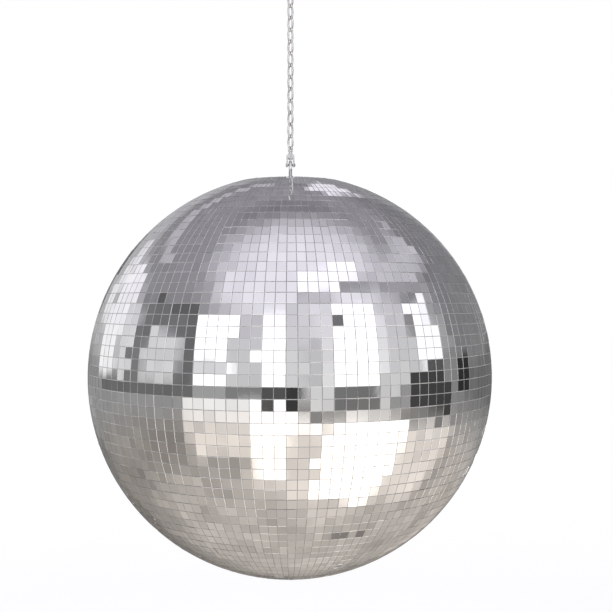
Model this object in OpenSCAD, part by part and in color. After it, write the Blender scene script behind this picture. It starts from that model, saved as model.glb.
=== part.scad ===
// Hanging mirror ball on a short-link chain.
// Frame: origin at the seat inside the top chain link, which is where the whole thing hangs from,
// +Z up, -Y towards the front, millimetres. The modules draw everything about the ball's centre, and
// hung() lowers each piece by the height of that seat.

/* [Ball] */
// Diameter over the outer edges of the mirror facets
ball_d = 400; // [380:5:420]
// Number of mirror facets in every row around the ball
facet_columns = 128; // [120:4:136]
// Latitude that the facet rows reach before the pole cap begins, in degrees
cap_latitude = 74.6; // [73.5:0.1:75]
// Thickness of the mirror glass
facet_t = 1.5; // [1:0.1:2]
// Open joint between two facet rows
facet_gap = 0.4; // [0.2:0.1:0.6]
// Thickness of the pale backing net and adhesive behind the facets
backing_t = 0.65; // [0.4:0.05:1]
// Wall thickness of the moulded core
core_wall = 3; // [2.5:0.1:4]

/* [Pole hardware] */
// Thickness of the disc moulded into each pole of the core
pole_disc_t = 4; // [3:0.5:6]
// Thickness of the pole caps
cap_t = 1.2; // [1:0.1:2]
// Radius of the circle of cap screws
cap_screw_ring_r = 46; // [40:1:50]
// Number of screws in each cap
cap_screws = 4; // [3:1:6]
// Diameter of the tie rod
rod_d = 8; // [8:1:8]
// Outer diameter of the spacer tube around the tie rod
spacer_d = 16; // [14:1:20]
// Diameter of the inner spreader plates
spreader_d = 60; // [50:5:70]

/* [Eye nut] */
// Diameter of the eye's round bar
eye_bar_d = 3.5; // [3:0.1:4]
// Radius of the eye ring, to the centre of its bar
eye_r = 7.5; // [7:0.1:8]

/* [Swivel] */
// Width between the outer faces of the two yoke arms
yoke_w = 8.4; // [8:0.1:9]
// Width between the inner faces of the two yoke arms
yoke_gap = 5; // [4.8:0.1:5.2]
// Depth of the yoke, front to back
yoke_depth = 4.4; // [4:0.1:5]
// Diameter of the pin across the yoke
yoke_pin_d = 2.2; // [2:0.1:2.4]
// Diameter of the swivel stem
stem_d = 2.4; // [2.2:0.1:2.6]
// Bar diameter of the small ring on top of the swivel
ring_bar_d = 1.8; // [1.6:0.1:2]
// Radius of that ring, to the centre of its bar
ring_r = 2.5; // [2.5:0.1:2.8]

/* [Chain] */
// Wire diameter of the chain
link_wire_d = 2; // [1.9:0.1:2]
// Inside length of one link
link_inner_l = 12; // [11:0.5:14]
// Outside width of one link
link_outer_w = 8; // [8:0.1:9]

/* [Hidden] */

$fn = 96;
eps = 0.02;      // overlap that welds two shapes of one piece
run = 0.05;      // running clearance between pieces that move on each other
thread_fit = 0.02; // radial clearance of a threaded bore
link_count = 16;

// Ball skin
ball_r = ball_d / 2;
row_pitch = 360 / facet_columns;
rows = floor(cap_latitude / row_pitch - 0.5); // rows on each side of the equator row
backing_r = (ball_r - facet_t) * cos(row_pitch / 2) - 0.04;
core_r = backing_r - backing_t - 0.05;
core_inner_r = core_r - core_wall;
half_gap_angle = asin(facet_gap / 2 / ball_r);
backing_seam = backing_r * sin(row_pitch / 2); // the two sheets meet under the equator row's lower edge
skin_latitude = (rows + 0.5) * row_pitch;
band_starts = [1, 8, 15, 21, rows + 1];

// Pole stack, outwards along Z
row_end_z = (ball_r - facet_t) * sin(skin_latitude - half_gap_angle);
pole_z = row_end_z - 0.15;
pole_r = sqrt(core_r * core_r - pole_z * pole_z);
cap_r = (ball_r - facet_t) * cos(skin_latitude) - 0.4;
cap_z = pole_z + cap_t;
washer_t = 1.2;
washer_z = cap_z + washer_t;
rod_hole_r = rod_d / 2 + 0.3;
spreader_t = 2.5;
spreader_z = pole_z - pole_disc_t - spreader_t;
nut_h = 8;
nut_af = 13;
rod_bottom_z = -(washer_z + nut_h + 2);
screw_d = 3.4;

// Eye nut
eye_base_h = 4.8;
eye_base_r = 7.5;
eye_neck_h = 0.8;
eye_bore_h = eye_base_h - 0.4;
rod_top_z = washer_z + eye_bore_h - 0.1;
eye_z = washer_z + eye_base_h + eye_neck_h + eye_r;
eye_top_z = eye_z + eye_r;

// Swivel, measured up from the pin that carries the eye
pin_z = eye_top_z - eye_bar_d / 2 - yoke_pin_d / 2 - run;
arm_t = (yoke_w - yoke_gap) / 2;
head_t = 0.8;
head_r = 2;
yoke_under_z = pin_z + 6.3;
yoke_block_h = 4.8;
yoke_top_z = yoke_under_z + yoke_block_h;
boss_h = 1;
shoulder_r = 3;
pin_head_r = 1.8;
pin_head_t = 0.45;
ring_z = yoke_top_z + boss_h + run + ring_r + ring_bar_d / 2;
ring_top_z = ring_z + ring_r;

// Chain, link 1 at the top
link_w = link_outer_w - link_wire_d;
link_l = link_inner_l + link_wire_d;
link_step = link_l - link_wire_d - run;
chain_z = ring_top_z - ring_bar_d / 2 - link_wire_d / 2 - run;
function link_z(k) = chain_z + (link_count - k) * link_step;
function link_turn(k) = 45 + 90 * (k - 1);
hang_z = link_z(1) + link_l - link_wire_d / 2;

// ---- shared shapes ----

module hung() {
    translate([0, 0, -hang_z]) children();
}

module tube(r_out, r_in, h) {
    difference() {
        cylinder(r = r_out, h = h);
        translate([0, 0, -1]) cylinder(r = r_in, h = h + 2);
    }
}

// Spherical shell between two heights
module shell_zone(r_out, r_in, z_low, z_high) {
    rotate_extrude() intersection() {
        difference() {
            circle(r = r_out);
            circle(r = r_in);
        }
        translate([0, z_low]) square([r_out + 1, z_high - z_low]);
    }
}

// Arc of round bar in the XZ plane about the origin, from an angle above the X axis
module bar_arc(r, start, sweep, bar_d) {
    rotate([90, 0, 0]) rotate([0, 0, start])
        rotate_extrude(angle = sweep) translate([r, 0]) circle(d = bar_d, $fn = 48);
}

// Loop of round bar in the XZ plane, its lowest bar centre at the origin: two half rings and two
// straight sides
module bar_loop(w, l, bar_d) {
    end_r = w / 2;
    translate([0, 0, end_r]) bar_arc(end_r, 180, 180, bar_d);
    translate([0, 0, l - end_r]) bar_arc(end_r, 0, 180, bar_d);
    for (side = [-1, 1])
        translate([side * end_r, 0, end_r]) cylinder(d = bar_d, h = l - w, $fn = 48);
}

// ---- core ----

module core_half(side) {
    mirror([0, 0, side > 0 ? 0 : 1]) difference() {
        union() {
            shell_zone(core_r, core_inner_r, 0.05, pole_z);
            translate([0, 0, pole_z - pole_disc_t]) cylinder(r = pole_r - 0.5, h = pole_disc_t);
        }
        translate([0, 0, pole_z - pole_disc_t - 1]) {
            cylinder(r = rod_hole_r, h = pole_disc_t + 2);
            cap_screw_places() cylinder(d = screw_d + 0.1, h = pole_disc_t + 2);
        }
    }
}

module core_upper_half() { color([0.2, 0.2, 0.22]) core_half(1); }

module core_lower_half() { color([0.2, 0.2, 0.22]) core_half(-1); }

module core_joint_ring() {
    color([0.3, 0.3, 0.32]) shell_zone(core_inner_r - run, core_inner_r - 3, -12, 12);
}

// ---- skin ----

module upper_backing() {
    color([0.9, 0.9, 0.88])
        shell_zone(backing_r, backing_r - backing_t, run - backing_seam, pole_z - 0.1);
}

module lower_backing() {
    color([0.9, 0.9, 0.88])
        shell_zone(backing_r, backing_r - backing_t, -pole_z + 0.1, -run - backing_seam);
}

// One row of facets as a conical ring, row 0 astride the equator
module facet_row(i) {
    low = (i - 0.5) * row_pitch + half_gap_angle;
    high = (i + 0.5) * row_pitch - half_gap_angle;
    inner_r = ball_r - facet_t;
    rotate_extrude() polygon([
        [ball_r * cos(low), ball_r * sin(low)],
        [ball_r * cos(high), ball_r * sin(high)],
        [inner_r * cos(high), inner_r * sin(high)],
        [inner_r * cos(low), inner_r * sin(low)]]);
}

module equator_mirror_row() {
    color([0.78, 0.78, 0.8]) facet_row(0);
}

module mirror_band(side, band) {
    color([0.78, 0.78, 0.8]) mirror([0, 0, side > 0 ? 0 : 1])
        for (i = [band_starts[band - 1] : band_starts[band] - 1]) facet_row(i);
}

// ---- pole hardware ----

module cap_screw_places() {
    for (i = [0 : cap_screws - 1])
        rotate([0, 0, 45 + i * 360 / cap_screws]) translate([cap_screw_ring_r, 0, 0]) children();
}

module cap(side) {
    color([0.75, 0.75, 0.77]) mirror([0, 0, side > 0 ? 0 : 1]) difference() {
        translate([0, 0, pole_z]) cylinder(r = cap_r, h = cap_t);
        translate([0, 0, pole_z - 1]) {
            cylinder(r = rod_hole_r, h = cap_t + 2);
            cap_screw_places() cylinder(d = screw_d + 0.3, h = cap_t + 2);
        }
    }
}

module screws(side) {
    color("silver") mirror([0, 0, side > 0 ? 0 : 1]) cap_screw_places() {
        translate([0, 0, cap_z]) cylinder(r = 3, h = 1.8);
        translate([0, 0, pole_z - pole_disc_t - 2]) cylinder(d = screw_d, h = cap_t + pole_disc_t + 2 + eps);
    }
}

module tie_rod() {
    color("silver") translate([0, 0, rod_bottom_z]) cylinder(d = rod_d, h = rod_top_z - rod_bottom_z);
}

module spacer_tube() {
    color([0.6, 0.6, 0.62]) translate([0, 0, -spreader_z])
        tube(spacer_d / 2, rod_d / 2 + 0.6, 2 * spreader_z);
}

module spreader(side) {
    color([0.65, 0.65, 0.68]) mirror([0, 0, side > 0 ? 0 : 1])
        translate([0, 0, spreader_z]) tube(spreader_d / 2, rod_hole_r, spreader_t);
}

module washer(side) {
    color("silver") mirror([0, 0, side > 0 ? 0 : 1])
        translate([0, 0, cap_z]) tube(12, rod_hole_r, washer_t);
}

module lock_nut() {
    color("silver") translate([0, 0, -washer_z - nut_h]) difference() {
        cylinder(r = nut_af / 2 / cos(30), h = nut_h, $fn = 6);
        translate([0, 0, -1]) cylinder(r = rod_d / 2 + thread_fit, h = nut_h + 2, $fn = 96);
    }
}

module eye_nut() {
    color("silver") difference() {
        union() {
            translate([0, 0, eye_z]) rotate([0, 90, 0])
                rotate_extrude() translate([eye_r, 0]) circle(d = eye_bar_d, $fn = 48);
            translate([0, 0, washer_z]) cylinder(r = eye_base_r, h = eye_base_h);
            translate([0, 0, washer_z + eye_base_h - eps]) cylinder(r1 = 5, r2 = 2.2, h = 2);
        }
        translate([0, 0, washer_z - 1]) cylinder(r = rod_d / 2 + thread_fit, h = eye_bore_h + 1);
    }
}

// ---- swivel ----

module yoke_arm(side) {
    translate([side > 0 ? yoke_gap / 2 : -yoke_w / 2, 0, 0]) {
        translate([0, -yoke_depth / 2, pin_z]) cube([arm_t, yoke_depth, yoke_under_z - pin_z + 1]);
        translate([0, 0, pin_z]) rotate([0, 90, 0]) cylinder(d = yoke_depth, h = arm_t);
    }
}

// Outline of the block in the XZ plane, its two upper corners rounded
module yoke_block_outline() {
    straight_h = yoke_block_h - shoulder_r;
    intersection() {
        translate([-yoke_w / 2, 0]) square([yoke_w, yoke_block_h]);
        union() {
            translate([-yoke_w / 2, 0]) square([yoke_w, straight_h]);
            translate([shoulder_r - yoke_w / 2, 0]) square([yoke_w - 2 * shoulder_r, yoke_block_h]);
            for (side = [-1, 1])
                translate([side * (yoke_w / 2 - shoulder_r), straight_h]) circle(r = shoulder_r);
        }
    }
}

module yoke_block() {
    translate([0, yoke_depth / 2, yoke_under_z]) rotate([90, 0, 0])
        linear_extrude(yoke_depth) yoke_block_outline();
    translate([0, 0, yoke_top_z - eps]) cylinder(d = yoke_depth, h = boss_h + eps);
}

module yoke() {
    color([0.55, 0.55, 0.57]) difference() {
        union() {
            yoke_block();
            yoke_arm(-1);
            yoke_arm(1);
        }
        translate([0, 0, yoke_under_z - 1]) cylinder(r = stem_d / 2 + run, h = yoke_block_h + boss_h + 2);
        translate([-yoke_w, 0, pin_z]) rotate([0, 90, 0]) cylinder(r = yoke_pin_d / 2 + 0.02, h = 2 * yoke_w);
    }
}

module yoke_pin() {
    color("silver") translate([-yoke_w / 2 - pin_head_t, 0, pin_z]) rotate([0, 90, 0]) {
        cylinder(r = pin_head_r, h = pin_head_t);
        cylinder(d = yoke_pin_d, h = yoke_w + 2 * pin_head_t + 0.3);
    }
}

module pin_clip() {
    color("silver") translate([yoke_w / 2, 0, pin_z]) rotate([0, 90, 0])
        tube(pin_head_r, yoke_pin_d / 2 + 0.02, pin_head_t);
}

module swivel_eye() {
    color("silver") {
        translate([0, 0, ring_z]) rotate([0, 0, link_turn(link_count + 1)]) rotate([90, 0, 0])
            rotate_extrude() translate([ring_r, 0]) circle(d = ring_bar_d, $fn = 48);
        translate([0, 0, yoke_under_z - run - head_t]) cylinder(r = head_r, h = head_t);
        translate([0, 0, yoke_under_z - run - eps])
            cylinder(d = stem_d, h = ring_z - ring_r - yoke_under_z + run + eps);
        translate([0, 0, yoke_top_z + boss_h + run]) cylinder(r = 1.7, h = 0.6);
    }
}

// ---- chain ----

module chain_link(k) {
    color([0.8, 0.8, 0.78]) translate([0, 0, link_z(k)]) rotate([0, 0, link_turn(k)])
        bar_loop(link_w, link_l, link_wire_d);
}

hung() core_upper_half();
hung() core_lower_half();
hung() core_joint_ring();
hung() upper_backing();
hung() lower_backing();
hung() equator_mirror_row();
hung() mirror_band(1, 1);  // upper_mirror_band_1
hung() mirror_band(1, 2);  // upper_mirror_band_2
hung() mirror_band(1, 3);  // upper_mirror_band_3
hung() mirror_band(1, 4);  // upper_mirror_band_4
hung() mirror_band(-1, 1);  // lower_mirror_band_1
hung() mirror_band(-1, 2);  // lower_mirror_band_2
hung() mirror_band(-1, 3);  // lower_mirror_band_3
hung() mirror_band(-1, 4);  // lower_mirror_band_4
hung() cap(1);  // top_cap
hung() cap(-1);  // bottom_cap
hung() screws(1);  // top_cap_screws
hung() screws(-1);  // bottom_cap_screws
hung() tie_rod();
hung() spacer_tube();
hung() spreader(1);  // top_spreader
hung() spreader(-1);  // bottom_spreader
hung() washer(1);  // top_washer
hung() washer(-1);  // bottom_washer
hung() lock_nut();
hung() eye_nut();
hung() yoke();
hung() yoke_pin();
hung() pin_clip();
hung() swivel_eye();
hung() chain_link(1);  // link_01
hung() chain_link(2);  // link_02
hung() chain_link(3);  // link_03
hung() chain_link(4);  // link_04
hung() chain_link(5);  // link_05
hung() chain_link(6);  // link_06
hung() chain_link(7);  // link_07
hung() chain_link(8);  // link_08
hung() chain_link(9);  // link_09
hung() chain_link(10);  // link_10
hung() chain_link(11);  // link_11
hung() chain_link(12);  // link_12
hung() chain_link(13);  // link_13
hung() chain_link(14);  // link_14
hung() chain_link(15);  // link_15
hung() chain_link(16);  // link_16
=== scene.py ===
"""Looks of a hanging mirror ball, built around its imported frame. Metres, +Z up, -Y towards the viewer."""
import math
import random

import bmesh
import bpy
from mathutils import Matrix, Vector


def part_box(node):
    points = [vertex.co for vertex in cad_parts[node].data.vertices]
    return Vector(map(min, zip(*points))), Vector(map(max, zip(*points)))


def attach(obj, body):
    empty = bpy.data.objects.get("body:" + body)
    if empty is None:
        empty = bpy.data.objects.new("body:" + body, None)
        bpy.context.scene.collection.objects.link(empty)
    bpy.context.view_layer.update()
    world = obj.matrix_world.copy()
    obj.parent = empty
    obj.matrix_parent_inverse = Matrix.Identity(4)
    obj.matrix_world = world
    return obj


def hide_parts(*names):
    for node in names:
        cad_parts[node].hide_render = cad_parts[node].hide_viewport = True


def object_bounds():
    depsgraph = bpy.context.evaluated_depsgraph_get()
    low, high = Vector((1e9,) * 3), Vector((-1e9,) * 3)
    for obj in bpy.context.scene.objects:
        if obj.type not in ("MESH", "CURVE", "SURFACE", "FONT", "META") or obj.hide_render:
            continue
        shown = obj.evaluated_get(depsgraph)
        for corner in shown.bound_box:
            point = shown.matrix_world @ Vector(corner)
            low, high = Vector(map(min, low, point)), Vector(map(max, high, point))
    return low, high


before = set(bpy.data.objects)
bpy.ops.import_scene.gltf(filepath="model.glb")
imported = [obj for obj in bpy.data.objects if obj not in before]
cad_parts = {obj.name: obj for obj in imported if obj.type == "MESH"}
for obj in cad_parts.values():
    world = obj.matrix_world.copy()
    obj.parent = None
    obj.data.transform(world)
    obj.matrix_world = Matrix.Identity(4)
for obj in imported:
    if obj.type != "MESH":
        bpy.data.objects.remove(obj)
cad_low, cad_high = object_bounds()

MM = 0.001
TAU = math.tau

# Ball skin: the facet grid of the CAD part
COLUMNS = 128                       # facets in every row
PITCH = TAU / COLUMNS               # angle between two columns, and between two rows
LAST_ROW = 26                       # rows on each side of the equator row
BAND_STARTS = (1, 8, 15, 21, 27)    # first row of each band, and one past the last row
SEAM_LONGITUDE = 0.624 * PITCH      # where a column joint stands, right of the front
FACET_THICK = 1.5 * MM
HALF_GAP = 0.2 * MM
ARRIS = 0.12 * MM                   # ground edge round a facet's face
BED_DEPTH = 0.75 * MM               # adhesive in the joints stands this far under the faces
POCKET_PLAY = 0.06 * MM
BACKING_THICK = 0.65 * MM

# How unevenly the facets are laid by hand
TILT_DEG = 0.28
ODD_SHARE_UPPER = 0.04
ODD_SHARE_LOWER = 0.13
ODD_TILT_DEG = 1.5
TWIST_DEG = 0.25
SHIFT = 0.03 * MM

# Chain
WIRE_R = 1.0 * MM
LINK_END_R = 2.2 * MM               # bend at a link's ends, to the centre of the wire
ARC_STEPS = 18
BEAD_SWELL = 0.14
BEAD_LENGTH = 0.7 * MM

# Camera, about the ball's centre
CAMERA_DISTANCE = 0.956
CAMERA_UP_DEG = 4.44
AIM_RIGHT_DEG = 0.946
AIM_UP_DEG = 4.127
LENS_MM = 55.44
SENSOR_MM = 36.0

row_low, row_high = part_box("equator_mirror_row")
CENTRE_Z = (row_low.z + row_high.z) / 2
BALL_R = (row_high.x - row_low.x) / 2 / math.cos(PITCH / 2)


def deg(value):
    return math.radians(value)


# ---------------------------------------------------------------- meshes and objects

def link_object(name, mesh, body, stands_for, materials):
    """Makes the mesh a piece that rides on a body and stands for CAD nodes."""
    piece = bpy.data.objects.new(name, mesh)
    bpy.context.scene.collection.objects.link(piece)
    mesh.materials.clear()
    for material in materials:
        mesh.materials.append(material)
    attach(piece, body)
    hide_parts(*stands_for)
    return piece


def mesh_from(name, points, faces, slots=None, smooth=False):
    mesh = bpy.data.meshes.new(name)
    mesh.from_pydata([tuple(p) for p in points], [], [tuple(f) for f in faces])
    if slots is not None:
        mesh.polygons.foreach_set("material_index", slots)
    if smooth:
        mesh.polygons.foreach_set("use_smooth", [True] * len(mesh.polygons))
    mesh.update()
    return mesh


def smooth_by_angle(mesh, limit_deg):
    """Smooth faces, with sharp edges where two faces meet at more than the limit."""
    work = bmesh.new()
    work.from_mesh(mesh)
    for face in work.faces:
        face.smooth = True
    for edge in work.edges:
        if len(edge.link_faces) == 2 and edge.calc_face_angle() > deg(limit_deg):
            edge.smooth = False
    work.to_mesh(mesh)
    work.free()


def lathe(name, outline, steps):
    """Closed ring turned about Z from a closed outline of (radius, height) points, off the axis."""
    points = []
    for step in range(steps):
        turn = TAU * step / steps
        points += [(r * math.cos(turn), r * math.sin(turn), z) for r, z in outline]
    count = len(outline)
    faces = []
    for step in range(steps):
        here, there = step * count, (step + 1) % steps * count
        for i in range(count):
            j = (i + 1) % count
            faces.append((here + i, there + i, there + j, here + j))
    mesh = mesh_from(name, points, faces)
    outward(mesh)
    return mesh


def lathe_solid(name, outline, steps):
    """Closed solid turned about Z; the outline runs from the axis to the axis."""
    inner = outline[1:-1]
    points = [(0, 0, outline[0][1]), (0, 0, outline[-1][1])]
    for step in range(steps):
        turn = TAU * step / steps
        points += [(r * math.cos(turn), r * math.sin(turn), z) for r, z in inner]
    count = len(inner)
    faces = []
    for step in range(steps):
        here, there = 2 + step * count, 2 + (step + 1) % steps * count
        faces.append((0, there, here))
        faces.append((1, here + count - 1, there + count - 1))
        for i in range(count - 1):
            faces.append((here + i, there + i, there + i + 1, here + i + 1))
    mesh = mesh_from(name, points, faces)
    outward(mesh)
    return mesh


def outward(mesh):
    work = bmesh.new()
    work.from_mesh(mesh)
    bmesh.ops.recalc_face_normals(work, faces=work.faces)
    work.to_mesh(mesh)
    work.free()


def baked_modifiers(name, mesh, *modifiers):
    """The mesh after these (type, settings) modifiers."""
    helper = bpy.data.objects.new(name + "_work", mesh)
    bpy.context.scene.collection.objects.link(helper)
    for kind, settings in modifiers:
        modifier = helper.modifiers.new(kind.lower(), kind)
        for key, value in settings.items():
            setattr(modifier, key, value)
    graph = bpy.context.evaluated_depsgraph_get()
    graph.update()
    result = bpy.data.meshes.new_from_object(helper.evaluated_get(graph))
    result.name = name
    bpy.data.objects.remove(helper)
    return result


def softened(name, node, voxel, passes):
    """A CAD node's own shape with its hard edges rounded over and its joins blended."""
    return baked_modifiers(
        name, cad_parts[node].data.copy(),
        ("WELD", {"merge_threshold": 1e-6}),
        ("REMESH", {"mode": "VOXEL", "voxel_size": voxel, "use_smooth_shade": True}),
        ("SMOOTH", {"factor": 0.5, "iterations": passes}))


# ---------------------------------------------------------------- material tools

def new_material(name, base, metallic, roughness):
    material = bpy.data.materials.new(name)
    material.use_nodes = True
    shader = material.node_tree.nodes["Principled BSDF"]
    shader.inputs["Base Color"].default_value = (*base, 1)
    shader.inputs["Metallic"].default_value = metallic
    shader.inputs["Roughness"].default_value = roughness
    return material


def tree_of(material):
    return material.node_tree, material.node_tree.nodes["Principled BSDF"]


def place(tree, stretch=(1, 1, 1)):
    """Coordinates in the frame, in metres, stretched along each axis."""
    source = tree.nodes.new("ShaderNodeTexCoord")
    mapping = tree.nodes.new("ShaderNodeMapping")
    mapping.inputs["Scale"].default_value = stretch
    tree.links.new(source.outputs["Object"], mapping.inputs["Vector"])
    return mapping.outputs["Vector"]


def noise(tree, vector, scale, detail=3.0, distortion=0.0):
    node = tree.nodes.new("ShaderNodeTexNoise")
    node.inputs["Scale"].default_value = scale
    node.inputs["Detail"].default_value = detail
    node.inputs["Distortion"].default_value = distortion
    tree.links.new(vector, node.inputs["Vector"])
    return node.outputs["Fac"]


def cells(tree, vector, scale):
    node = tree.nodes.new("ShaderNodeTexVoronoi")
    node.inputs["Scale"].default_value = scale
    tree.links.new(vector, node.inputs["Vector"])
    return node.outputs["Color"], node.outputs["Distance"]


def remap(tree, value, low, high, from_low=0.3, from_high=0.7):
    node = tree.nodes.new("ShaderNodeMapRange")
    node.inputs["From Min"].default_value = from_low
    node.inputs["From Max"].default_value = from_high
    node.inputs["To Min"].default_value = low
    node.inputs["To Max"].default_value = high
    tree.links.new(value, node.inputs["Value"])
    return node.outputs["Result"]


def blend_colours(tree, factor, colour_a, colour_b):
    node = tree.nodes.new("ShaderNodeMix")
    node.data_type = "RGBA"
    tree.links.new(factor, node.inputs["Factor"])
    for socket, colour in ((node.inputs[6], colour_a), (node.inputs[7], colour_b)):
        if isinstance(colour, tuple):
            socket.default_value = (*colour, 1)
        else:
            tree.links.new(colour, socket)
    return node.outputs[2]


def math_node(tree, operation, first, second=None, third=None):
    node = tree.nodes.new("ShaderNodeMath")
    node.operation = operation
    for socket, value in zip(node.inputs, (first, second, third)):
        if value is None:
            continue
        if isinstance(value, (int, float)):
            socket.default_value = value
        else:
            tree.links.new(value, socket)
    return node.outputs[0]


def bump(tree, shader, height, distance, strength=1.0):
    node = tree.nodes.new("ShaderNodeBump")
    node.inputs["Strength"].default_value = strength
    node.inputs["Distance"].default_value = distance
    tree.links.new(height, node.inputs["Height"])
    tree.links.new(node.outputs["Normal"], shader.inputs["Normal"])


# ---------------------------------------------------------------- materials

def mirror_glass():
    """Silvered glass: a tone and a haze of its own on each facet, with faint waves in the glass."""
    material = new_material("mirror_glass_face", (0.9, 0.9, 0.91), 1.0, 0.02)
    tree, shader = tree_of(material)
    tone = tree.nodes.new("ShaderNodeAttribute")
    tone.attribute_name = "facet_tone"
    colour = blend_colours(tree, tone.outputs["Fac"], (0.85, 0.85, 0.86), (0.95, 0.95, 0.95))
    tree.links.new(colour, shader.inputs["Base Color"])
    at = place(tree)
    smear = remap(tree, noise(tree, at, 90, 5), 0.012, 0.05)
    tree.links.new(smear, shader.inputs["Roughness"])
    bump(tree, shader, noise(tree, at, 260, 1), 0.000004)
    return material


def glass_edge():
    """Cut sides of the facets: pale, faintly green and a little rough."""
    material = new_material("facet_cut_edge", (0.8, 0.83, 0.82), 0.0, 0.35)
    tree, shader = tree_of(material)
    at = place(tree)
    colour = blend_colours(tree, noise(tree, at, 900), (0.72, 0.75, 0.74), (0.9, 0.92, 0.91))
    tree.links.new(colour, shader.inputs["Base Color"])
    bump(tree, shader, noise(tree, at, 2500), 0.00004)
    return material


def pale_backing():
    """Net set in pale grey adhesive."""
    material = new_material("net_and_adhesive", (0.72, 0.72, 0.71), 0.0, 0.65)
    tree, shader = tree_of(material)
    at = place(tree)
    smudges = remap(tree, noise(tree, at, 320), 0, 1)
    colour = blend_colours(tree, smudges, (0.64, 0.64, 0.63), (0.8, 0.8, 0.79))
    tree.links.new(colour, shader.inputs["Base Color"])
    weave = math_node(tree, "MULTIPLY", noise(tree, place(tree, (3, 3, 0.4)), 900), noise(tree, at, 1400))
    bump(tree, shader, weave, 0.0001)
    return material


def core_plastic():
    """Dark moulded plastic with a fine grain and slight mottling."""
    material = new_material("core_black_plastic", (0.06, 0.06, 0.065), 0.0, 0.42)
    tree, shader = tree_of(material)
    at = place(tree)
    colour = blend_colours(tree, noise(tree, at, 25), (0.045, 0.045, 0.05), (0.085, 0.085, 0.09))
    tree.links.new(colour, shader.inputs["Base Color"])
    tree.links.new(remap(tree, noise(tree, at, 60), 0.36, 0.5), shader.inputs["Roughness"])
    bump(tree, shader, noise(tree, at, 1800), 0.00003)
    return material


def turned_metal(name, dark, light, ring_scale, rough_low, rough_high):
    """Metal with fine rings about the ball's axis, as left by spinning or facing."""
    material = new_material(name, light, 1.0, rough_low)
    tree, shader = tree_of(material)
    at = place(tree)
    split = tree.nodes.new("ShaderNodeSeparateXYZ")
    tree.links.new(at, split.inputs["Vector"])
    span = math_node(tree, "ADD", math_node(tree, "POWER", split.outputs["X"], 2),
                     math_node(tree, "POWER", split.outputs["Y"], 2))
    radius = math_node(tree, "SQRT", span)
    ring = tree.nodes.new("ShaderNodeCombineXYZ")
    tree.links.new(radius, ring.inputs["X"])
    tree.links.new(split.outputs["Z"], ring.inputs["Z"])
    lines = noise(tree, ring.outputs["Vector"], ring_scale, 4)
    stains = noise(tree, at, 70, 4)
    colour = blend_colours(tree, remap(tree, stains, 0, 1), dark, light)
    tree.links.new(colour, shader.inputs["Base Color"])
    tree.links.new(remap(tree, lines, rough_low, rough_high), shader.inputs["Roughness"])
    bump(tree, shader, lines, 0.00002)
    return material


def plated_steel(name, dark, light, grain, rough_low, rough_high, dent=0.00002):
    """Plated or polished steel: crystal-like mottling, dull patches and small dents."""
    material = new_material(name, light, 1.0, rough_low)
    tree, shader = tree_of(material)
    at = place(tree)
    flake, _ = cells(tree, at, grain)
    shade = math_node(tree, "ADD", math_node(tree, "MULTIPLY", flake, 0.4),
                      math_node(tree, "MULTIPLY", noise(tree, at, grain * 0.3, 4), 0.6))
    colour = blend_colours(tree, remap(tree, shade, 0, 1), dark, light)
    tree.links.new(colour, shader.inputs["Base Color"])
    dullness = remap(tree, noise(tree, at, grain * 0.6, 5), rough_low, rough_high)
    tree.links.new(dullness, shader.inputs["Roughness"])
    bump(tree, shader, noise(tree, at, grain, 3), dent)
    return material


def brushed_tube():
    """Drawn aluminium with lines along the axis."""
    material = new_material("drawn_aluminium", (0.75, 0.76, 0.78), 1.0, 0.3)
    tree, shader = tree_of(material)
    lines = noise(tree, place(tree, (1, 1, 0.02)), 1600, 4)
    tree.links.new(remap(tree, lines, 0.22, 0.4), shader.inputs["Roughness"])
    colour = blend_colours(tree, lines, (0.62, 0.63, 0.65), (0.82, 0.83, 0.84))
    tree.links.new(colour, shader.inputs["Base Color"])
    bump(tree, shader, lines, 0.00003)
    return material


def nylon():
    material = new_material("nut_nylon_insert", (0.75, 0.76, 0.74), 0.0, 0.45)
    tree, shader = tree_of(material)
    at = place(tree)
    tree.links.new(blend_colours(tree, noise(tree, at, 700), (0.68, 0.69, 0.67), (0.84, 0.85, 0.83)),
                   shader.inputs["Base Color"])
    bump(tree, shader, noise(tree, at, 2400), 0.00003)
    return material


GLASS = mirror_glass()
GLASS_EDGE = glass_edge()
BACKING = pale_backing()
PLASTIC = core_plastic()
CAP_METAL = turned_metal("cap_spun_metal", (0.62, 0.62, 0.63), (0.8, 0.8, 0.81), 900, 0.16, 0.3)
ZINC = plated_steel("zinc_plated_steel", (0.6, 0.61, 0.62), (0.8, 0.81, 0.81), 700, 0.16, 0.34)
BRIGHT = plated_steel("polished_steel", (0.74, 0.74, 0.74), (0.9, 0.9, 0.9), 500, 0.06, 0.2)
CAST = plated_steel("swivel_cast_steel", (0.66, 0.66, 0.66), (0.84, 0.84, 0.84), 900, 0.1, 0.26, 0.00003)
CHAIN = plated_steel("chain_bright_steel", (0.62, 0.62, 0.61), (0.88, 0.88, 0.87), 600, 0.1, 0.26)
# Painted shade: the yoke pin and its clip are coloured near black for the shade on the pin ends, though their
# own finish is zinc plating.
PAINTED_SHADE_STEEL = plated_steel("pin_steel_painted_shade", (0.1, 0.1, 0.1), (0.2, 0.2, 0.2), 1200, 0.25, 0.4)
ALUMINIUM = brushed_tube()
NYLON = nylon()


# ---------------------------------------------------------------- facets and their bed

def on_sphere(latitude, longitude, radius):
    """Point about the ball's centre; longitude runs from the front towards +X."""
    across = radius * math.cos(latitude)
    return Vector((across * math.sin(longitude), -across * math.cos(longitude),
                   CENTRE_Z + radius * math.sin(latitude)))


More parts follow.
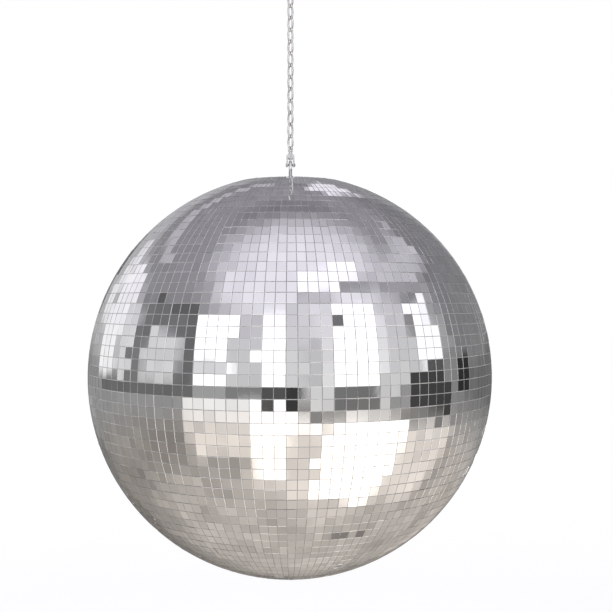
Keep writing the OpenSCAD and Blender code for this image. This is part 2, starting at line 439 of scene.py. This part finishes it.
def cell_corners(row, column, inset, radius):
    """The four corners of one cell of the facet grid, drawn in by inset on every side."""
    latitude_in = inset / BALL_R
    longitude_in = inset / (BALL_R * math.cos(row * PITCH))
    low, high = (row - 0.5) * PITCH + latitude_in, (row + 0.5) * PITCH - latitude_in
    left = SEAM_LONGITUDE + column * PITCH + longitude_in
    right = SEAM_LONGITUDE + (column + 1) * PITCH - longitude_in
    return [on_sphere(low, left, radius), on_sphere(low, right, radius),
            on_sphere(high, right, radius), on_sphere(high, left, radius)]


FACET_FACES = ((0, 1, 2, 3), (0, 4, 5, 1), (1, 5, 6, 2), (2, 6, 7, 3), (3, 7, 4, 0),
               (4, 8, 9, 5), (5, 9, 10, 6), (6, 10, 11, 7), (7, 11, 8, 4), (11, 10, 9, 8))
FACET_SLOTS = (0, 1, 1, 1, 1, 1, 1, 1, 1, 1)


def facet_points(corners, draw, odd_share):
    """Three loops of a flat plate, its face, its edge and its back, laid a little askew."""
    centre = sum(corners, Vector()) / 4
    across = (corners[1] - corners[0]).normalized()
    normal = across.cross(corners[3] - corners[0]).normalized()
    upward = normal.cross(across)
    spread = ODD_TILT_DEG if draw.random() < odd_share else TILT_DEG
    lay = (Matrix.Rotation(deg(draw.gauss(0, spread)), 3, across)
           @ Matrix.Rotation(deg(draw.gauss(0, spread)), 3, upward)
           @ Matrix.Rotation(deg(draw.gauss(0, TWIST_DEG)), 3, normal))
    shift = across * draw.uniform(-SHIFT, SHIFT) + upward * draw.uniform(-SHIFT, SHIFT)
    points = []
    for draw_in, depth in ((ARRIS, 0.0), (0.0, 0.6 * ARRIS), (0.0, FACET_THICK)):
        for corner in corners:
            arm = corner - centre
            flat_a, flat_b = arm.dot(across), arm.dot(upward)
            flat_a -= math.copysign(draw_in, flat_a)
            flat_b -= math.copysign(draw_in, flat_b)
            points.append(centre + shift + lay @ (across * flat_a + upward * flat_b - normal * depth))
    return points


def facet_band(name, rows):
    """All facets of some rows as one mesh, each with its own tone."""
    draw = random.Random(name)
    points, faces, slots, tones = [], [], [], []
    for row in rows:
        odd_share = ODD_SHARE_UPPER if row >= 0 else ODD_SHARE_LOWER
        for column in range(COLUMNS):
            start = len(points)
            points += facet_points(cell_corners(row, column, HALF_GAP, BALL_R), draw, odd_share)
            faces += [tuple(start + i for i in face) for face in FACET_FACES]
            slots += FACET_SLOTS
            tones += [draw.random()] * len(FACET_FACES)
    mesh = mesh_from(name, points, faces, slots)
    mesh.attributes.new("facet_tone", "FLOAT", "FACE").data.foreach_set("value", tones)
    return mesh


def adhesive_bed(name, first_row, last_row):
    """Shell with a pocket for every facet and the adhesive risen between them."""
    top, floor = BALL_R - BED_DEPTH, BALL_R - FACET_THICK - POCKET_PLAY
    back = floor - BACKING_THICK
    rows = range(first_row, last_row + 1)
    points, faces = [], []
    for edge in range(first_row, last_row + 2):
        for column in range(COLUMNS):
            longitude = SEAM_LONGITUDE + column * PITCH
            points.append(on_sphere((edge - 0.5) * PITCH, longitude, top))
            points.append(on_sphere((edge - 0.5) * PITCH, longitude, back))

    def grid(row, column, side):
        return 2 * ((row - first_row) * COLUMNS + column % COLUMNS) + side

    for row in rows:
        for column in range(COLUMNS):
            outer = [grid(row, column, 0), grid(row, column + 1, 0),
                     grid(row + 1, column + 1, 0), grid(row + 1, column, 0)]
            start = len(points)
            points += cell_corners(row, column, HALF_GAP - POCKET_PLAY, top)
            points += cell_corners(row, column, HALF_GAP - POCKET_PLAY, floor)
            for i in range(4):
                j = (i + 1) % 4
                faces.append((outer[i], outer[j], start + j, start + i))
                faces.append((start + i, start + j, start + 4 + j, start + 4 + i))
            faces.append((start + 4, start + 5, start + 6, start + 7))
            faces.append((grid(row + 1, column, 1), grid(row + 1, column + 1, 1),
                          grid(row, column + 1, 1), grid(row, column, 1)))
    for column in range(COLUMNS):
        faces.append((grid(first_row, column, 1), grid(first_row, column + 1, 1),
                      grid(first_row, column + 1, 0), grid(first_row, column, 0)))
        faces.append((grid(last_row + 1, column, 0), grid(last_row + 1, column + 1, 0),
                      grid(last_row + 1, column + 1, 1), grid(last_row + 1, column, 1)))
    return mesh_from(name, points, faces)


def build_skin():
    facets = (GLASS, GLASS_EDGE)
    link_object("facets_equator", facet_band("facets_equator", [0]), "ball",
                ["equator_mirror_row"], facets)
    for side, word in ((1, "upper"), (-1, "lower")):
        for band in range(1, 5):
            rows = [side * row for row in range(BAND_STARTS[band - 1], BAND_STARTS[band])]
            name = f"facets_{word}_{band}"
            link_object(name, facet_band(name, rows), "ball",
                        [f"{word}_mirror_band_{band}"], facets)
    link_object("adhesive_bed_upper", adhesive_bed("adhesive_bed_upper", 0, LAST_ROW), "ball",
                ["upper_backing"], [BACKING])
    link_object("adhesive_bed_lower", adhesive_bed("adhesive_bed_lower", -LAST_ROW, -1), "ball",
                ["lower_backing"], [BACKING])


# ---------------------------------------------------------------- pole hardware

def placed(mesh, z, upside_down=False, x=0.0, y=0.0, turn=0.0):
    flip = Matrix.Rotation(math.pi, 4, "X") if upside_down else Matrix.Identity(4)
    mesh.transform(Matrix.Translation((x, y, z)) @ flip @ Matrix.Rotation(turn, 4, "Z"))
    return mesh


def cap_outline(radius, thick, bore):
    """Pressed disc: rolled rim, a raised bead part way in and a shallow seat round the bore."""
    roll = 0.45 * thick
    rim = [(radius - roll + roll * math.sin(t), thick - roll + roll * math.cos(t))
           for t in (0, deg(30), deg(60), deg(90))]
    bead = [(0.62 * radius + 1.6 * MM * math.cos(t), thick + 0.45 * MM * math.sin(t))
            for t in (math.pi, deg(135), deg(90), deg(45), 0)]
    return ([(bore, 0), (bore, thick - 0.1 * MM), (bore + 0.1 * MM, thick)] + bead + rim
            + [(radius, 0.1 * MM), (radius - 0.1 * MM, 0)])


def build_cap(word, upside_down):
    low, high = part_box(f"{word}_cap")
    seat = high.z if upside_down else low.z
    mesh = lathe(f"cap_{word}", cap_outline(high.x, high.z - low.z, 4.3 * MM), 128)
    placed(mesh, seat, upside_down)
    smooth_by_angle(mesh, 40)
    link_object(f"cap_{word}", mesh, "ball", [f"{word}_cap"], [CAP_METAL])


def build_washer(word, upside_down):
    low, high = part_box(f"{word}_washer")
    radius, thick, edge = high.x, high.z - low.z, 0.2 * MM
    outline = [(4.3 * MM, edge), (4.3 * MM, thick - edge), (4.3 * MM + edge, thick),
               (radius - edge, thick), (radius - 0.3 * edge, thick - 0.3 * edge), (radius, thick - edge),
               (radius, edge), (radius - edge, 0), (4.3 * MM + edge, 0)]
    mesh = placed(lathe(f"washer_{word}", outline, 72), high.z if upside_down else low.z, upside_down)
    smooth_by_angle(mesh, 40)
    link_object(f"washer_{word}", mesh, "ball", [f"{word}_washer"], [ZINC])


def screw_head(radius, height):
    """Domed head with a cross recess, seat at z = 0, and the shank under it."""
    dome = [(0, height)] + [(radius * math.sin(t), height * (0.45 + 0.55 * math.cos(t)))
                            for t in (deg(15), deg(30), deg(45), deg(60), deg(75), deg(90))]
    shank_r, shank_l = 1.7 * MM, 6.5 * MM
    solid = dome + [(radius, 0), (shank_r, 0), (shank_r, -shank_l), (0.6 * shank_r, -shank_l - 1 * MM),
                    (0, -shank_l - 1 * MM)]
    head = lathe_solid("screw_head", solid, 48)
    cross = bmesh.new()
    for turn in (0, math.pi / 2):
        bar = Matrix.Rotation(turn, 4, "Z") @ Matrix.Diagonal((1.15 * radius, 0.26 * radius, 1.4 * height, 1))
        bmesh.ops.create_cube(cross, size=1, matrix=Matrix.Translation((0, 0, 1.15 * height)) @ bar)
    cutter_mesh = bpy.data.meshes.new("screw_recess")
    cross.to_mesh(cutter_mesh)
    cross.free()
    cutter = bpy.data.objects.new("screw_recess", cutter_mesh)
    bpy.context.scene.collection.objects.link(cutter)
    result = baked_modifiers("screw", head, ("BOOLEAN", {
        "operation": "DIFFERENCE", "solver": "EXACT", "use_self": True, "object": cutter}))
    bpy.data.objects.remove(cutter)
    smooth_by_angle(result, 35)
    return result


def build_cap_screws(word, upside_down):
    low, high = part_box(f"{word}_cap_screws")
    head_r, head_h = 3 * MM, 1.8 * MM
    ring = (high.x - head_r) / math.cos(deg(45))
    seat = low.z + head_h if upside_down else high.z - head_h
    whole = bmesh.new()
    screw = screw_head(head_r, head_h)
    for i in range(4):
        turn = deg(45 + 90 * i)
        copy = placed(screw.copy(), seat, upside_down, ring * math.cos(turn), ring * math.sin(turn), 0.7 * i)
        whole.from_mesh(copy)
    mesh = bpy.data.meshes.new(f"screws_{word}")
    whole.to_mesh(mesh)
    whole.free()
    link_object(f"screws_{word}", mesh, "ball", [f"{word}_cap_screws"], [ZINC])


def build_tie_rod():
    """Threaded rod: one helical ridge per turn, plain chamfered ends."""
    low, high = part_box("tie_rod")
    lead, depth, radius, around, per_turn = 1.25 * MM, 0.55 * MM, high.x, 24, 4
    rings = int(round((high.z - low.z) / lead * per_turn))
    rows = []
    for ring in range(rings + 1):
        z = low.z + (high.z - low.z) * ring / rings
        end = min(ring, rings - ring) / per_turn
        row = []
        for step in range(around):
            phase = (ring / per_turn - step / around) % 1
            ridge = min(1, 2.4 * abs(phase - 0.5))
            r = radius - depth * max(ridge, 1 - end)
            turn = TAU * step / around
            row.append((r * math.cos(turn), r * math.sin(turn), z))
        rows.append(row)
    points = [p for row in rows for p in row] + [(0, 0, low.z), (0, 0, high.z)]
    faces = []
    for ring in range(rings):
        for step in range(around):
            a, b = ring * around + step, ring * around + (step + 1) % around
            faces.append((a, b, b + around, a + around))
    bottom, top = len(points) - 2, len(points) - 1
    for step in range(around):
        a, b = step, (step + 1) % around
        faces.append((b, a, bottom))
        faces.append((rings * around + a, rings * around + b, top))
    mesh = mesh_from("tie_rod_threaded", points, faces, smooth=True)
    link_object("tie_rod_threaded", mesh, "ball", ["tie_rod"], [ZINC])


def hexagon_radius(flat_r, turn):
    """Distance from the axis to the side of a hexagon, at this turn."""
    return flat_r / math.cos((turn + deg(30)) % deg(60) - deg(30))


def build_lock_nut():
    """Hexagon nut with turned chamfers, a domed collar and the nylon ring in it, collar downwards."""
    low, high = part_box("lock_nut")
    flat_r, height, bore = 6.5 * MM, high.z - low.z, 4.05 * MM
    hex_h = 0.72 * height
    corner_r = flat_r / math.cos(deg(30))
    steps = 96
    levels = [(0, "bore"), (0, flat_r), (0.9 * MM, "hex"), (hex_h - 0.9 * MM, "hex"), (hex_h, flat_r),
              (hex_h, 5.9 * MM), (height - 0.6 * MM, 5.7 * MM), (height - 0.15 * MM, 5.3 * MM),
              (height, 4.8 * MM), (height - 0.5 * MM, 4.6 * MM), (height - 0.7 * MM, "bore")]
    points = []
    for step in range(steps):
        turn = TAU * step / steps
        side = min(hexagon_radius(flat_r, turn), corner_r)
        for z, r in levels:
            reach = bore if r == "bore" else side if r == "hex" else r
            points.append((reach * math.cos(turn), reach * math.sin(turn), z))
    count = len(levels)
    faces, slots = [], []
    for step in range(steps):
        here, there = step * count, (step + 1) % steps * count
        for i in range(count):
            j = (i + 1) % count
            faces.append((here + i, there + i, there + j, here + j))
            slots.append(1 if i == count - 2 else 0)
    mesh = mesh_from("lock_nut_hex", points, faces, slots)
    placed(mesh, high.z, upside_down=True)
    outward(mesh)
    smooth_by_angle(mesh, 25)
    link_object("lock_nut_hex", mesh, "ball", ["lock_nut"], [ZINC, NYLON])


def build_pole_hardware():
    for word, upside_down in (("top", False), ("bottom", True)):
        build_cap(word, upside_down)
        build_washer(word, upside_down)
        build_cap_screws(word, upside_down)
    build_tie_rod()
    build_lock_nut()
    link_object("eye_nut_forged", softened("eye_nut_forged", "eye_nut", 0.22 * MM, 5), "ball",
                ["eye_nut"], [BRIGHT])


# ---------------------------------------------------------------- swivel and chain

def build_swivel():
    for name, node, body, slot, material, voxel in (
            ("yoke_cast", "yoke", "yoke", "swivel_steel", CAST, 0.12 * MM),
            # The pin and its clip get the steel with painted shade, darker than their zinc plating.
            ("yoke_pin_headed", "yoke_pin", "yoke", "zinc_steel", PAINTED_SHADE_STEEL, 0.08 * MM),
            ("pin_clip_ring", "pin_clip", "yoke", "zinc_steel", PAINTED_SHADE_STEEL, 0.06 * MM),
            ("swivel_ring", "swivel_eye", "swivel_eye", "bright_steel", BRIGHT, 0.09 * MM)):
        mesh = softened(name, node, voxel, 3)
        link_object(name, mesh, body, [node], [material])


def oval_path(half_wide, half_long):
    """Points and outward directions round an oval in the XZ plane, its lowest point at z = 0."""
    end_z = half_long - LINK_END_R
    side_r = (half_wide ** 2 + end_z ** 2 - LINK_END_R ** 2) / (2 * (half_wide - LINK_END_R))
    lean = math.asin(end_z / (side_r - LINK_END_R))
    arcs = ((0, end_z, LINK_END_R, lean, math.pi - lean),
            (side_r - half_wide, 0, side_r, math.pi - lean, math.pi + lean),
            (0, -end_z, LINK_END_R, math.pi + lean, TAU - lean),
            (half_wide - side_r, 0, side_r, -lean, lean))
    path = []
    for centre_x, centre_z, radius, start, stop in arcs:
        for i in range(ARC_STEPS):
            t = start + (stop - start) * i / ARC_STEPS
            out = Vector((math.cos(t), 0, math.sin(t)))
            path.append((Vector((centre_x, 0, centre_z + half_long)) + radius * out, out))
    return path


def chain_link(name, half_wide, half_long, bead_side):
    """Round bar bent to a long oval, with the swell of its weld half way up one side."""
    around = 16
    depthward = Vector((0, 1, 0))
    path = oval_path(half_wide, half_long)
    weld = Vector((bead_side * half_wide, 0, half_long))
    points = []
    for centre, out in path:
        swell = 1 + BEAD_SWELL * math.exp(-((centre - weld).length / BEAD_LENGTH) ** 2)
        for step in range(around):
            turn = TAU * step / around
            arm = math.cos(turn) * out + math.sin(turn) * depthward
            points.append(centre + WIRE_R * swell * arm)
    faces = []
    for i in range(len(path)):
        here, there = i * around, (i + 1) % len(path) * around
        for step in range(around):
            j = (step + 1) % around
            faces.append((here + step, here + j, there + j, there + step))
    mesh = mesh_from(name, points, faces, smooth=True)
    outward(mesh)
    return mesh


def build_chain():
    for number in range(1, 17):
        node = f"link_{number:02d}"
        low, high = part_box(node)
        turn = deg(45 + 90 * (number - 1))
        half_wide = (high.x - WIRE_R) / math.cos(deg(45))
        half_long = (high.z - low.z) / 2 - WIRE_R
        mesh = chain_link(f"chain_{node}", half_wide, half_long, 1 if number % 2 else -1)
        placed(mesh, low.z + WIRE_R, turn=turn)
        link_object(f"chain_{node}", mesh, node, [node], [CHAIN])


# ---------------------------------------------------------------- inner parts

def dress_inner_parts():
    """CAD nodes whose shape is right keep it and get their finish."""
    for node, material in (("core_upper_half", PLASTIC), ("core_lower_half", PLASTIC),
                           ("core_joint_ring", PLASTIC), ("spacer_tube", ALUMINIUM),
                           ("top_spreader", ZINC), ("bottom_spreader", ZINC)):
        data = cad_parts[node].data
        data.materials.clear()
        data.materials.append(material)


# ---------------------------------------------------------------- stage, light and camera

# The studio that the mirrors see, on top of the soft base: each panel is
# (middle azimuth, width, middle elevation, height, softness, brightness), in degrees. Azimuth runs
# from the viewer towards +X. Brightness is the value seen on screen: 1 is white, and more than 1
# stays white where the glass or a tint dims it.
STUDIO_PANELS = (
    # back of the room
    (-140, 70, 15, 30, 8, 0.72), (150, 90, 15, 60, 12, 0.5), (175, 30, 20, 40, 8, 0.6),
    (168, 12, 43, 14, 3, 0.97), (-143, 66, 40, 5, 2, 0.72), (157, 14, -28, 12, 3, 0.8),
    (-95, 170, -22, 32, 8, 0.56), (-165, 40, -22, 24, 6, 0.46), (-95, 120, -8, 10, 3, 0.58),
    (-160, 8, 7.5, 9, 2, 0.42),
    # ceiling over the windows
    (-28, 52, 50, 16, 5, 0.93), (32, 56, 55.5, 12, 3, 1.1), (17, 30, 43, 6, 3, 0.78),
    (100, 50, 43, 14, 6, 0.76), (70, 34, 46, 10, 4, 0.78),
    # windows
    (-43, 24, 15, 34, 2, 1.2), (-24, 17, 17, 38, 2, 0.8), (-9, 14, 17, 42, 2, 1.2),
    (5, 18, 18, 44, 2, 0.84), (11, 8, 10, 20, 1.5, 0.76), (20, 10, 17, 43, 2, 0.88),
    (38, 26, 17, 48, 2, 1.2), (55, 9, 17, 46, 2, 0.93), (65, 17, 15, 44, 2, 0.81),
    (84, 16, 16.5, 29, 2, 1.1), (89, 8, 22.5, 17, 2, 1.05), (97, 8, 15, 34, 3, 0.64),
    (-44, 24, 8, 7, 1.5, 0.88), (30, 7, 31.5, 4, 1, 0.45),
    # left-hand panel and windows
    (-76, 34, 14, 34, 2, 0.45), (-75, 25, 9, 20, 3, 0.84), (-58, 6, 14, 34, 2, 0.42),
    (-78, 36, 30, 4, 1.5, 0.38),
    (-104, 13, 8.5, 27, 2, 0.86), (-122, 20, 13, 32, 2, 0.97), (-141, 12, 16.5, 19, 2, 0.92),
    (-93, 6, 14, 32, 1, 0.48),
    # floor glow towards the viewer, and the floor beside it
    (135, 50, -34, 36, 14, 0.69), (88, 36, -34, 34, 12, 0.87), (-42, 38, -24, 28, 8, 0.87),
    (25, 108, -36, 44, 14, 0.9), (35, 80, -52, 26, 14, 0.9), (-8, 44, -15, 14, 3, 1.3),
    (-12, 22, -30, 46, 3, 1.3), (44, 54, -42, 46, 6, 1.35), (11, 12, -22, 12, 5, 1.2),
    (-40, 34, -13, 13, 3, 0.95), (45, 40, -70, 16, 8, 0.78),
    (16, 24, -14, 8, 3, 0.58), (78, 26, -14, 8, 3, 0.5),
    # horizon band and dark things on it
    (-92, 74, -4.5, 5, 1, 0.42), (-100, 10, -1, 5, 1, 0.47), (-44, 24, -4, 4, 1, 0.62),
    (-21, 24, -4, 4, 1, 0.5), (-5, 22, -8, 14, 1.5, 0.33), (3, 6, -9, 14, 1, 0.24),
    (15, 18, -8, 12, 2, 0.84), (35, 22, -8, 12, 1.5, 0.46), (52, 12, -6, 14, 2, 0.82),
    (64, 10, -9, 14, 3, 0.6), (82, 32, -6, 17, 2, 0.27), (86, 12, 5, 6, 1, 0.35), (98, 14, 2, 12, 2, 0.52),
    (110, 9, -1, 13, 1, 0.2), (150, 74, -4, 9, 2, 0.43), (119, 16, -68, 14, 6, 0.48),
)
CEILING_EDGE = (23, 26, 30, 2.4, 0.62)    # elevation, its rise, where it rises most, width, brightness
WARM_TINT = (1.09, 1.0, 0.91)             # of the light from the floor
COOL_TINT = (0.985, 0.955, 1.05)          # of the light from the ceiling
PATCH_LEVELS = (0.78, 1.2)                # darkest and brightest patches on the floor


def to_linear(value):
    """Light that shows on screen as this value; above 1 it stays brighter than white."""
    return value ** 2.2


def window(tree, value, middle, width, softness):
    """1 within width about the middle, fading to 0 over the softness."""
    away = math_node(tree, "ABSOLUTE", math_node(tree, "SUBTRACT", value, middle))
    node = tree.nodes.new("ShaderNodeMapRange")
    node.interpolation_type = "SMOOTHSTEP"
    node.inputs["From Min"].default_value = width / 2 + softness / 2
    node.inputs["From Max"].default_value = width / 2 - softness / 2
    tree.links.new(away, node.inputs["Value"])
    return node.outputs["Result"]


def studio_base(tree, direction, elevation):
    """Soft light from the ceiling and the floor, brighter from the ceiling towards the viewer."""
    ramp = tree.nodes.new("ShaderNodeValToRGB")
    ramp.color_ramp.interpolation = "LINEAR"
    stops = ((-90, 0.72), (-60, 0.72), (-45, 0.66), (-30, 0.54), (6, 0.5), (40, 0.56), (60, 0.58), (70, 0.49),
             (80, 0.4), (90, 0.4))
    elements = ramp.color_ramp.elements
    while len(elements) < len(stops):
        elements.new(0.5)
    for element, (degrees, bright) in zip(elements, stops):
        element.position = (degrees + 90) / 180
        element.color = (to_linear(bright), to_linear(bright), to_linear(bright), 1)
    tree.links.new(math_node(tree, "DIVIDE", math_node(tree, "ADD", elevation, 90), 180), ramp.inputs["Fac"])
    glow_azimuth, glow_elevation = deg(10), deg(56)
    glow = tree.nodes.new("ShaderNodeVectorMath")
    glow.operation = "DOT_PRODUCT"
    glow.inputs[1].default_value = (math.sin(glow_azimuth) * math.cos(glow_elevation),
                                    -math.cos(glow_azimuth) * math.cos(glow_elevation),
                                    math.sin(glow_elevation))
    tree.links.new(direction, glow.inputs[0])
    spread = tree.nodes.new("ShaderNodeMapRange")
    spread.interpolation_type = "SMOOTHSTEP"
    spread.inputs["From Min"].default_value = math.cos(deg(55))
    spread.inputs["From Max"].default_value = math.cos(deg(10))
    tree.links.new(glow.outputs["Value"], spread.inputs["Value"])
    bright = to_linear(0.95)
    return blend_colours(tree, spread.outputs["Result"], ramp.outputs["Color"], (bright, bright, bright))


def tinted(tree, colour, direction, elevation):
    """The studio's colour, warm and patchy from the floor and cool from the ceiling."""
    warm = remap(tree, elevation, 0, 1, -8, -25)
    cool = remap(tree, elevation, 0, 1, -5, 50)
    patches = remap(tree, noise(tree, direction, 5.0, 5, 0.6), 0, 1)
    dim, bright = (tuple(level * t for t in WARM_TINT) for level in PATCH_LEVELS)
    floor_tint = blend_colours(tree, patches, dim, bright)
    tint = blend_colours(tree, warm, (1, 1, 1), floor_tint)
    tint = blend_colours(tree, cool, tint, COOL_TINT)
    product = tree.nodes.new("ShaderNodeVectorMath")
    product.operation = "MULTIPLY"
    tree.links.new(colour, product.inputs[0])
    tree.links.new(tint, product.inputs[1])
    return product.outputs["Vector"]


def studio_colour(tree):
    """What a mirror facet sees in each direction."""
    source = tree.nodes.new("ShaderNodeTexCoord")
    direction = source.outputs["Generated"]
    split = tree.nodes.new("ShaderNodeSeparateXYZ")
    tree.links.new(direction, split.inputs["Vector"])
    minus_y = math_node(tree, "MULTIPLY", split.outputs["Y"], -1)
    azimuth = math_node(tree, "DEGREES", math_node(tree, "ARCTAN2", split.outputs["X"], minus_y))
    elevation = math_node(tree, "DEGREES", math_node(tree, "ARCSINE", split.outputs["Z"]))
    colour = studio_base(tree, direction, elevation)
    for middle_az, wide, middle_el, high, soft, bright in STUDIO_PANELS:
        mask = math_node(tree, "MULTIPLY", window(tree, azimuth, middle_az, wide, soft),
                         window(tree, elevation, middle_el, high, soft))
        light = to_linear(bright)
        colour = blend_colours(tree, mask, colour, (light, light, light))
    height, rise, peak, wide, bright = CEILING_EDGE
    swing = math_node(tree, "COSINE", math_node(tree, "RADIANS", math_node(tree, "SUBTRACT", azimuth, peak)))
    edge = math_node(tree, "SUBTRACT", elevation, math_node(tree, "MULTIPLY", swing, rise))
    mask = math_node(tree, "MULTIPLY", window(tree, edge, height, wide, 2), window(tree, azimuth, 54, 100, 6))
    light = to_linear(bright)
    colour = blend_colours(tree, mask, colour, (light, light, light))
    return tinted(tree, colour, direction, elevation)


def build_world():
    """Mirrors see the studio, the camera sees white, and everything else gets soft white light."""
    world = bpy.data.worlds.new("studio")
    world.use_nodes = True
    bpy.context.scene.world = world
    tree = world.node_tree
    background = tree.nodes["Background"]
    rays = tree.nodes.new("ShaderNodeLightPath")
    seen = blend_colours(tree, rays.outputs["Is Glossy Ray"], (0.85, 0.85, 0.87), studio_colour(tree))
    seen = blend_colours(tree, rays.outputs["Is Camera Ray"], seen, (1.0, 1.0, 1.0))
    tree.links.new(seen, background.inputs["Color"])


def build_floor():
    """Round pale floor that curves up into a wall all round, seen by the camera only."""
    floor_z, wall_r, curve, wall_top = cad_low.z - 0.9, 4.5, 1.5, 4.0
    bend = [deg(10 * i) for i in range(10)]
    outline = [(0.0, floor_z)]
    outline += [(wall_r - curve + curve * math.sin(t), floor_z + curve - curve * math.cos(t)) for t in bend]
    outline += [(wall_r, wall_top)]
    steps = 96
    points, faces = [], []
    for r, z in outline[1:]:
        points += [(r * math.cos(TAU * i / steps), r * math.sin(TAU * i / steps), z) for i in range(steps)]
    points.append((0, 0, floor_z))
    for ring in range(len(outline) - 2):
        for i in range(steps):
            a, b = ring * steps + i, ring * steps + (i + 1) % steps
            faces.append((a, b, b + steps, a + steps))
    faces += [(i, (i + 1) % steps, len(points) - 1) for i in range(steps)]
    mesh = mesh_from("floor", points, faces, smooth=True)
    outward(mesh)
    material = new_material("floor_pale", (0.97, 0.97, 0.97), 0.0, 0.9)
    tree, shader = tree_of(material)
    shade = noise(tree, place(tree), 3)
    colour = blend_colours(tree, shade, (0.96, 0.96, 0.96), (0.98, 0.98, 0.98))
    tree.links.new(colour, shader.inputs["Base Color"])
    shader.inputs["Emission Color"].default_value = (1, 1, 1, 1)
    shader.inputs["Emission Strength"].default_value = 0.12
    mesh.materials.append(material)
    floor = bpy.data.objects.new("floor", mesh)
    bpy.context.scene.collection.objects.link(floor)
    floor.visible_glossy = False
    floor.visible_diffuse = False
    floor.visible_shadow = False


def build_lights():
    """Two broad soft boxes, out of the mirrors' sight."""
    target = Vector((0, 0, CENTRE_Z))
    for name, spot, size, watts in (("key", (-1.4, -1.6, 0.9), 1.6, 22), ("fill", (1.6, -1.2, 0.3), 1.8, 12)):
        lamp = bpy.data.lights.new(name, "AREA")
        lamp.size = size
        lamp.energy = watts
        light = bpy.data.objects.new(name, lamp)
        light.location = target + Vector(spot)
        light.rotation_euler = (target - light.location).to_track_quat("-Z", "Y").to_euler()
        light.visible_glossy = False
        bpy.context.scene.collection.objects.link(light)


def build_camera():
    data = bpy.data.cameras.new("camera")
    data.sensor_width = SENSOR_MM
    data.lens = LENS_MM
    data.clip_start = 0.01
    camera = bpy.data.objects.new("camera", data)
    up = deg(CAMERA_UP_DEG)
    camera.location = (0, -CAMERA_DISTANCE * math.cos(up), CENTRE_Z + CAMERA_DISTANCE * math.sin(up))
    camera.rotation_euler = (deg(90 - CAMERA_UP_DEG + AIM_UP_DEG), 0, -deg(AIM_RIGHT_DEG))
    bpy.context.scene.collection.objects.link(camera)
    bpy.context.scene.camera = camera


build_skin()
build_pole_hardware()
build_swivel()
build_chain()
dress_inner_parts()
build_world()
build_floor()
build_lights()
build_camera()
bpy.context.scene.view_settings.view_transform = "Standard"
